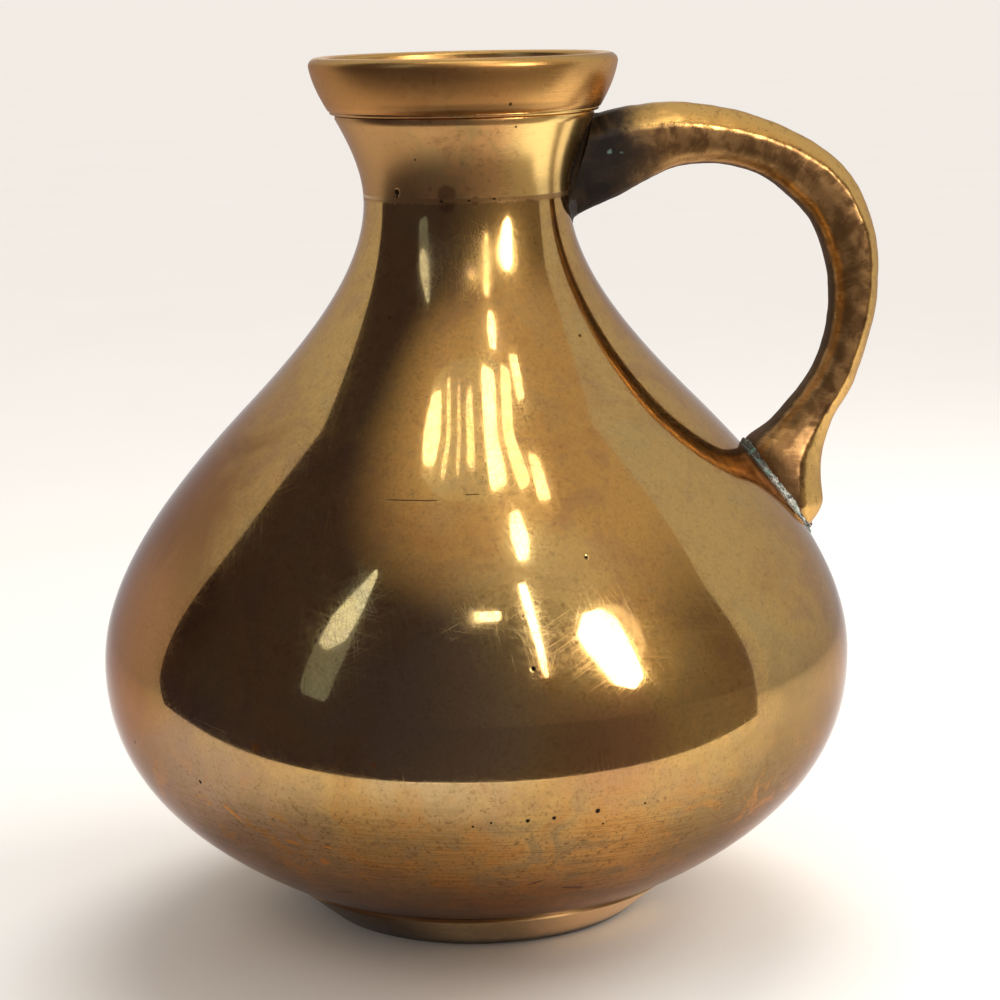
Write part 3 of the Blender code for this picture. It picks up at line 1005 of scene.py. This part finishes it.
def body_brass():
    """Polished brass gone patchy: gold with copper and rose tarnish, hairline scratches and casting pits."""
    material, shader, place = new_material("body_brass")
    sheet = attribute(place, "sheet", 1)
    height = part_of(place, 2)
    dull = 1 - ramp(height, 0.014, 0.040)
    low_down = 1 - ramp(height, 0.030, 0.050)
    clouds = mottle(place, 0.024, 3.0, 0.6, 0.8)
    patches = mottle(place, 0.009, 4.0, 0.65, 1.0)
    fine = mottle(place, 0.0024, 3.0, 0.65)
    speck = mottle(place, 0.0007, 2.0, 0.6)
    blush = mottle(place, 0.015, 4.0, 0.65, 0.3) + (fine - 0.5) * 0.2
    scuffs = spots(place, SCUFFS)
    worn_waist = 1 - ramp(away_from(place, -99, 0.1330), 0.003, 0.011)
    marks = hairlines(sheet, HAIRLINE_WAYS, 0.006, 0.00013, 0.67)
    long_marks = hairlines(sheet, LONG_MARK_WAYS, 0.022, 0.00013, 0.70)
    brushing = streaks(sheet, 2, 0.012, 0.00032, 0.54) * low_down
    cuts = strokes(sheet, height, SCRATCHES)
    gouges = strokes(sheet, height, GOUGES)
    holes = larger(pits(place, 0.0060, 0.06), spots(place, CASTING_PITS), cuts * 0.6)
    satin = ramp(height + (fine - 0.5) * 0.0016, NECK_SEAM_HEIGHT - 0.0011, NECK_SEAM_HEIGHT - 0.0005)
    tarnish = ramp(clouds + (fine - 0.5) * 0.3, 0.44, 0.72)
    base = layered(
        GOLD,
        (COPPER, tarnish * 0.55),
        ((0.50, 0.35, 0.150), ramp(blush, 0.50, 0.66) * 0.5),
        ((0.44, 0.26, 0.130), (1 - ramp(blush, 0.36, 0.48)) * 0.5),
        # Tarnish and painted reflection from the broad patches
        *tarnish_and_painted_reflection(place, clouds),
        ((0.38, 0.258, 0.120), ramp(patches, 0.50, 0.60) * low_down * 0.8),
        ((0.58, 0.285, 0.080), (1 - ramp(patches, 0.38, 0.48)) * low_down * 0.8),
        (BROWN, ramp(fine + (speck - 0.5) * 0.8, 0.54, 0.76) * (0.12 + 0.34 * low_down)),
        (BROWN, larger(ramp(speck, 0.58, 0.70), brushing * 0.6) * low_down * 0.7),
        (BROWN, larger(ramp(speck, 0.46, 0.74) * 0.24, larger(marks, long_marks) * 0.20)),
        ((0.66, 0.27, 0.06), larger(spots(place, COPPER_SPOTS), gouges) * 0.8),
        ((0.46, 0.26, 0.10), satin),
        (RESIDUE, spots(place, DRIPS) * 0.7),
        (SOOT, holes),
    )
    scratched = larger(marks * 0.11, long_marks * 0.20) * (0.25 + 0.75 * ramp(height, 0.040, 0.056))
    rough = 0.028 + scratched + dull * 0.12 + low_down * 0.03 + tarnish * 0.02 + scuffs * 0.06
    rough = rough + larger(satin * 0.25, worn_waist * 0.16)
    relief = (speck - 0.5) * (0.2 + 2.6 * low_down) + (fine - 0.5) * 2.0 - marks * 0.10 - long_marks * 0.12
    relief = relief - brushing * 0.9 - (holes + gouges) * 60.0
    metal(shader, base, rough, relief, 0.000001, Specular_Tint=EDGE_TINT)
    return material


def neck_brass():
    """Satin brass of the neck, duller than the body, with level turning lines and a rubbed lip."""
    material, shader, place = new_material("neck_brass")
    sheet = attribute(place, "sheet", 1)
    height = part_of(place, 2)
    angle = part_of(sheet, 0) / SHEET_RADIUS
    clouds = mottle(place, 0.012, 3.0, 0.6, 0.8)
    fine = mottle(place, 0.0013, 3.0, 0.65)
    turning = streaks(sheet, 0, 0.030, 0.00014, 0.54)
    holes = larger(pits(place, 0.0050, 0.06), spots(place, NECK_PITS))
    around = angle + (clouds - 0.5) * 0.4
    rubbed = ramp(around, 4.76, 5.16) * (1 - ramp(angle, 5.7, 6.2))
    front = band(around, 3.7, 4.5, 4.9, 5.5)
    left = (1 - ramp(angle + (clouds - 0.5) * 0.5, 3.85, 4.35)) * ramp(angle, 2.0, 2.8)
    lip = ramp(height + (fine - 0.5) * 0.0006, LIP_EDGE_HEIGHT + 0.0002, LIP_EDGE_HEIGHT + 0.0012)
    on_collar = ramp(height, COLLAR_BASE_HEIGHT - 0.0002, COLLAR_BASE_HEIGHT + 0.0002)
    # Painted reflection of the dark room in the concave fillet just above the collar's lower edge
    painted_dark_reflection = 1 - ramp(abs(height - COLLAR_BASE_HEIGHT - 0.0010), 0.0003, 0.0011)
    # Painted shade: a soft dark band just under the lip
    painted_shade_under_lip = 1 - ramp(abs(height - LIP_EDGE_HEIGHT + 0.0012), 0.0005, 0.0020)
    base = layered(
        (0.80, 0.455, 0.175),
        ((0.62, 0.325, 0.125), ramp(clouds + (fine - 0.5) * 0.5, 0.42, 0.66)),
        ((0.60, 0.410, 0.160), ramp(mottle(place, 0.008, 3.0, 0.6, 0.4), 0.50, 0.62) * 0.6),
        ((0.50, 0.275, 0.105), left),
        ((0.95, 0.64, 0.230), rubbed * (1 - on_collar * 0.4)),
        ((0.50, 0.225, 0.058), on_collar * 0.6),
        # Painted dark reflection above the collar's edge and painted shade under the lip, on the front only
        (BROWN, larger(painted_dark_reflection * 0.65, painted_shade_under_lip * 0.20) * front),
        ((0.58, 0.355, 0.120), lip),
        (BROWN, ramp(fine, 0.56, 0.78) * 0.35),
        (RESIDUE, spots(place, DRIPS) * 0.7),
        (SOOT, holes * 0.9),
    )
    rough = 0.25 + on_collar * 0.08 - larger(rubbed, lip) * 0.10 + clouds * 0.08 + turning * 0.05
    relief = (fine - 0.5) * 5.0 - turning * 0.2 - holes * 40.0
    metal(shader, base, rough, relief, 0.000002, Specular_Tint=EDGE_TINT)
    return material


def foot_brass():
    """Dull brown foot brass, with painted shade at the floor and a painted reflection on the handle's side.
    """
    material, shader, place = new_material("foot_brass")
    height = part_of(place, 2)
    clouds = mottle(place, 0.012, 3.0, 0.6, 0.5)
    fine = mottle(place, 0.0015, 3.0, 0.65)
    around = part_of(attribute(place, "sheet", 1), 0) / SHEET_RADIUS + (clouds - 0.5) * 0.4
    base = layered(
        (0.66, 0.49, 0.28),
        ((0.47, 0.34, 0.195), ramp(clouds + (fine - 0.5) * 0.4, 0.30, 0.62)),
        # Painted reflection of the lit floor: lighter on the handle's side
        ((0.98, 0.70, 0.40), band(around, 4.70, 5.15, 5.7, 6.1)),
        # Painted shade: darker on the left, where the floor it mirrors lies in shadow
        ((0.12, 0.066, 0.026), band(around, 2.4, 2.9, 4.0, 4.5)),
        # Painted contact shadow: darkest where the foot meets the floor
        ((0.10, 0.06, 0.03), 1 - ramp(height, 0.0, 0.0022)),
    )
    metal(shader, base, 0.24 + fine * 0.16, fine, 0.00002)
    return material


def handle_brass():
    """Brown patina on the sides, rubbed gold on the outer face, near black at the root and inside."""
    material, shader, place = new_material("handle_brass")
    rubbed, depth, along = (attribute(place, name, 2) for name in ("rubbed", "depth", "along"))
    clouds = mottle(place, 0.010, 3.0, 0.6, 0.6)
    blotches = mottle(place, 0.0042, 3.0, 0.6, 0.8)
    fine = mottle(place, 0.0014, 3.0, 0.65)
    speck = mottle(place, 0.0005, 2.0, 0.6)
    across = place.node("ShaderNodeCombineXYZ", {0: along * 150, 1: depth * 2.5})
    grain = mottle(across, 1.0, 3.0, 0.6, 0.8, "2D")
    hollows = pits(place, 0.0045, 0.20)
    root = 1 - ramp(along + depth * 0.020 + (clouds - 0.5) * 0.12 + (fine - 0.5) * 0.05, 0.070, 0.185)
    uneven_depth = depth + (blotches - 0.5) * 0.4
    mid_side = band(uneven_depth, 0.20, 0.45, 0.55, 0.85)
    pad = ramp(along + (clouds - 0.5) * 0.10, 0.76, 0.84) * (1 - ramp(uneven_depth, 0.45, 0.85))
    gold = rubbed + (clouds - 0.5) * 0.4 + (fine - 0.5) * 0.3 + (blotches - 0.5) * 0.5
    gold = ramp(gold, -0.12, 0.22)
    arris = 1 - ramp(abs(rubbed + (fine - 0.5) * 0.2), 0.06, 0.30)
    inner = 1 - ramp(depth + (clouds - 0.5) * 0.25, 0.12, 0.46)
    inside_face = 1 - ramp(depth + (fine - 0.5) * 0.05, 0.02, 0.06)
    green = larger(spots(place, GREEN_SPOTS), ramp(mottle(place, 0.0030, 2.0), 0.72, 0.78) * root)
    base = layered(
        (0.18, 0.092, 0.038),
        ((0.53, 0.305, 0.125), ramp(clouds * 0.35 + blotches * 0.50 + grain * 0.15, 0.44, 0.58)),
        ((0.46, 0.28, 0.10), inner * 0.35),
        ((0.15, 0.080, 0.036), larger(mid_side * 0.5, pad * 0.85)),
        ((0.70, 0.430, 0.135), gold),
        (BROWN, ramp(fine + (speck - 0.5) * 0.6, 0.54, 0.78) * 0.6),
        ((0.075, 0.055, 0.035), inside_face * 0.85),
        ((0.014, 0.010, 0.006), root * (0.70 + clouds * 0.6)),
        ((0.17, 0.27, 0.23), green * 0.7),
        (SOOT, hollows * 0.6),
    )
    rough = 0.42 - gold * 0.10 - arris * 0.14 + root * 0.16 + inside_face * 0.2 + (fine - 0.5) * 0.16
    relief = clouds * 2.0 + blotches * 1.5 + fine * 0.9 + speck * 0.15 - hollows * 2.0
    bare = 1.0 - larger(green * 0.7, root * 0.6)
    metal(shader, base, rough, relief, 0.00003, Metallic=bare, Specular_Tint=EDGE_TINT)
    return material


def braze_brass(name, clean, rough, residue):
    """Braze or solder in a seam, with dark residue where a cloudy value passes a level."""
    material, shader, place = new_material(name)
    clouds = mottle(place, 0.006, 3.0, 0.6, 0.5)
    fine = mottle(place, 0.0009, 2.0)
    base = mix(clean, SOOT, ramp(clouds + (fine - 0.5) * 0.5, residue, residue + 0.08))
    metal(shader, base, rough + fine * 0.1, fine, 0.00002)
    return material


def old_solder(name, pale, dark, green_level):
    """Crusted old solder: grey, with pale and blue-green grains."""
    material, shader, place = new_material(name)
    clouds = mottle(place, 0.0022, 3.0, 0.65, 0.6)
    fine = mottle(place, 0.0006, 2.0)
    sooty = ramp(part_of(place, 2) + (clouds - 0.5) * 0.006, 0.085, 0.090)
    base = mix(dark, pale, ramp(clouds + (fine - 0.5) * 0.5, 0.40, 0.62) * (1 - sooty * 0.9))
    green = ramp(mottle(place, 0.0016, 2.0), green_level, green_level + 0.06)
    base = mix(base, (0.22, 0.42, 0.36), green)
    metal(shader, base, 0.65, clouds + fine, 0.0001, Metallic=0.25)
    return material


def floor_paper():
    """Pale paper with the faintest unevenness, and a painted warm shadow beside the foot."""
    material, shader, place = new_material("pale_floor")
    base = mix((0.87, 0.85, 0.825), (0.90, 0.885, 0.865), mottle(place, 0.12, 3.0, 0.6))
    # Painted shadow, warmed with painted light from the brass: darker, warmer paper in a soft round patch at
    # the foot's front left
    painted_shadow_distance = distance(place, (-0.037, -0.045, 0.0))
    base = mix((0.78, 0.71, 0.645), base, ramp(painted_shadow_distance, 0.02, 0.07))
    fit(shader, Base_Color=base, Roughness=1.0, Specular_IOR_Level=0.0)
    return material


def glow(name, tint=None, strength=1.0, faded=False):
    """A finish that gives light of one tint, or of the tint kept on the mesh, which can fade it instead."""
    material, shader, place = new_material(name)
    if faded:
        fit(shader, Alpha=attribute(place, "tint", 2))
    tint = tint or attribute(place, "tint", 0)
    fit(shader, Base_Color=(0, 0, 0), Specular_IOR_Level=0.0)
    fit(shader, Emission_Color=tint, Emission_Strength=strength)
    return material


def room_tint(azimuth, elevation):
    """Colour of the dim room: darkest on the left, lighter to the right, overhead and round two lamps."""
    ceiling = smooth_step(elevation + 0.18 * azimuth, 38, 66)
    right = smooth_step(azimuth, -30, 50)
    halo = math.exp(-((azimuth - 47) / 20) ** 2 - ((elevation - 28) / 22) ** 2)
    glare = math.exp(-((azimuth - 26) / 16) ** 2 - ((elevation - 65) / 8) ** 2)
    return DIM_LEFT.lerp(DIM_RIGHT, right).lerp(CEILING, ceiling) + (HALO * halo + GLARE * glare)


def toward(azimuth, elevation, radius):
    """Point on a dome round the jug. Azimuth is from the camera's side, to its right."""
    facing = math.atan2(CAMERA_PLACE.y, CAMERA_PLACE.x) + math.radians(azimuth)
    lift = math.radians(elevation)
    level = radius * math.cos(lift)
    height = DOME_HEIGHT + radius * math.sin(lift)
    return Vector((level * math.cos(facing), level * math.sin(facing), height))


def add_stage(name, points, faces, finish):
    """A sheet of the studio."""
    mesh = bpy.data.meshes.new(name)
    mesh.from_pydata(points, [], faces)
    mesh.materials.append(finish)
    sheet = bpy.data.objects.new(name, mesh)
    bpy.context.scene.collection.objects.link(sheet)
    return sheet


def add_mirrored(name, points, faces, finish, tints=()):
    """A sheet of the studio that only reflections in metal see, with the tints kept on its points."""
    sheet = add_stage(name, points, faces, finish)
    for ray in ("camera", "diffuse", "transmission", "volume_scatter", "shadow"):
        setattr(sheet, "visible_" + ray, False)
    if tints:
        kept = sheet.data.attributes.new("tint", "FLOAT_VECTOR", "POINT")
        for i, tint in enumerate(tints):
            kept.data[i].vector = tint


def lattice(rows, columns):
    """Faces of a sheet of points in rows and columns."""
    corners = [i * columns + k for i in range(rows - 1) for k in range(columns - 1)]
    return [(first, first + 1, first + columns + 1, first + columns) for first in corners]


def level_rings(radii, height):
    """Points and faces of a level sheet of rings round the axis."""
    angles = spread(0.0, math.tau, FLOOR_COLUMNS)
    points = [(radius * math.cos(a), radius * math.sin(a), height) for radius in radii for a in angles]
    return points, lattice(len(radii), len(angles))


def make_floor():
    """Wide pale floor."""
    add_stage("floor", *level_rings(FLOOR_RINGS, 0.0), floor_paper())


def make_room():
    """The dim room in front of the jug that the polished metal mirrors. It is wider above."""
    points, tints = [], []
    for elevation in spread(ROOM_LOW, ROOM_TOP, ROOM_ROWS):
        lean = smooth_step(elevation, 28, 52)
        for azimuth in spread(ROOM_LEFT - WIDEN_LEFT * lean, ROOM_RIGHT + WIDEN_RIGHT * lean, ROOM_COLUMNS):
            points.append(toward(azimuth, elevation, DOME_RADIUS))
            tints.append(room_tint(azimuth, elevation))
    add_mirrored("front_room", points, lattice(ROOM_ROWS, ROOM_COLUMNS), glow("front_room"), tints)


def make_far_floor():
    """Veil that gives the far floor the sky's tone in reflections, so that the flanks show no horizon."""
    points, faces = level_rings([radius for radius, _ in VEIL_FADE], VEIL_LIFT)
    fades = [Vector((fade, fade, fade)) for _, fade in VEIL_FADE for _ in range(FLOOR_COLUMNS)]
    add_mirrored("far_floor", points, faces, glow("far_floor", MIRRORED_SKY, faded=True), fades)


def make_table():
    """Table beyond the pale floor's front edge, as dim as the room, with a bright line along that edge."""
    front = Vector((CAMERA_PLACE.x, CAMERA_PLACE.y, 0.0)).normalized()
    side = Vector((-front.y, front.x, 0.0))
    offsets = spread(TABLE_LEFT, TABLE_RIGHT, TABLE_COLUMNS)
    near, edge, far, tints = [], [], [], []
    for offset, azimuth in zip(offsets, spread(ROOM_LEFT, ROOM_RIGHT, TABLE_COLUMNS)):
        reach = FLOOR_EDGE - EDGE_BEND * offset ** 2 / (1 + EDGE_EASE * abs(offset))
        corner = side * offset + front * reach
        near.append(corner - front * EDGE_WIDTH + TABLE_LIFT * 2)
        edge.append(corner + TABLE_LIFT)
        far.append(toward(azimuth, ROOM_LOW, DOME_RADIUS) + TABLE_LIFT)
        tints.append(room_tint(0.7 * math.degrees(math.atan2(offset, reach)), 0.0))
    add_mirrored("front_table", edge + far, lattice(2, TABLE_COLUMNS), glow("front_table"), tints * 2)
    middle = slice(TABLE_COLUMNS // 2, TABLE_COLUMNS // 2 + EDGE_COLUMNS)
    line = near[middle] + edge[middle]
    add_mirrored("floor_edge", line, lattice(2, EDGE_COLUMNS), glow("floor_edge", (1.0, 0.95, 0.85), 1.5))


def make_panels():
    """Bright lamps, window and skylight of the room, seen only as reflections."""
    for radius, panels in ((WIDE_RADIUS, WIDE_PANELS), (BRIGHT_RADIUS, BRIGHT_PANELS)):
        for panel in panels:
            corners = [Vector(corner) for corner in panel.outline]
            outline = cut_corners(corners, CORNER_ROUNDS, CORNER_SHARE)
            points = [toward(azimuth, elevation, radius) for azimuth, elevation in outline]
            finish = glow(panel.name, panel.tint, panel.glow)
            add_mirrored(panel.name, points, [tuple(range(len(points)))], finish)


def add_lamp(name, kind, energy, place, aim):
    """A lamp that lights the floor and is not mirrored in metal. Gives its settings."""
    lamp = bpy.data.lights.new(name, kind)
    lamp.energy = energy
    lamp.color = LAMP_COLOR
    holder = bpy.data.objects.new(name, lamp)
    holder.location = place
    holder.rotation_euler = (aim - place).to_track_quat("-Z", "Y").to_euler()
    holder.visible_glossy = False
    bpy.context.scene.collection.objects.link(holder)
    return lamp


def make_light():
    """Even light from all round, a broad light overhead, two soft lamps, and an even colour transform."""
    world = bpy.data.worlds.new("studio")
    world.use_nodes = True
    bpy.context.scene.world = world
    tint = SKY
    for ray, seen in (("Glossy", MIRRORED_SKY), ("Camera", BACKDROP)):
        share = Link(world.node_tree).node("ShaderNodeLightPath", output=f"Is {ray} Ray")
        tint = mix(tint, seen, share)
    feed(world.node_tree.nodes["Background"].inputs["Color"], tint)
    add_lamp("overhead", "SUN", SUN_STRENGTH, SUN_PLACE, Vector()).angle = SUN_WIDTH
    for name, energy, place, aim in SOFT_LAMPS:
        add_lamp(name, "AREA", energy, place, aim).size = SOFT_LAMP_SIZE
    bpy.context.scene.view_settings.view_transform = "Standard"


def make_camera():
    """Camera of the photograph."""
    data = bpy.data.cameras.new("camera")
    data.lens = CAMERA_LENS
    data.sensor_width = SENSOR
    camera = bpy.data.objects.new("camera", data)
    turn_to = CAMERA_AIM.to_track_quat("-Z", "Y").to_matrix().to_4x4()
    roll = Matrix.Rotation(CAMERA_ROLL, 4, "Z")
    camera.matrix_world = Matrix.Translation(CAMERA_PLACE) @ turn_to @ roll
    bpy.context.scene.collection.objects.link(camera)
    bpy.context.scene.camera = camera


def make_jug():
    """Every piece of the jug."""
    turning = make_turning_tree()
    polished = body_brass()
    make_neck(turning, neck_brass())
    make_body(turning, polished)
    make_bowl(turning, polished)
    make_foot(turning, foot_brass())
    neck_braze = braze_brass("neck_braze", (0.48, 0.28, 0.11), 0.26, 0.62)
    foot_solder = braze_brass("foot_solder", (0.32, 0.19, 0.085), 0.26, 0.72)
    make_seam("neck_braze", NECK_SEAM_HEIGHT, NECK_SEAM_WIDTH, turning, neck_braze)
    make_seam("belly_braze", BELLY_SEAM_HEIGHT, BELLY_SEAM_WIDTH, turning, polished)
    make_foot_solder(turning, foot_solder)
    rings = handle_rings()
    make_handle(rings, handle_brass())
    half = len(rings) // 2
    crust = make_crust_tree()
    root_finish = old_solder("root_solder", (0.22, 0.180, 0.160), (0.03, 0.022, 0.020), 0.74)
    pad_finish = old_solder("pad_solder", (0.72, 0.74, 0.69), (0.12, 0.12, 0.11), 0.60)
    make_solder("upper_handle_solder", rings[half::-1], ROOT_SOLDER, crust, root_finish)
    make_solder("lower_handle_solder", rings[half:], PAD_SOLDER, crust, pad_finish)


make_jug()
make_floor()
make_room()
make_far_floor()
make_table()
make_panels()
make_light()
make_camera()
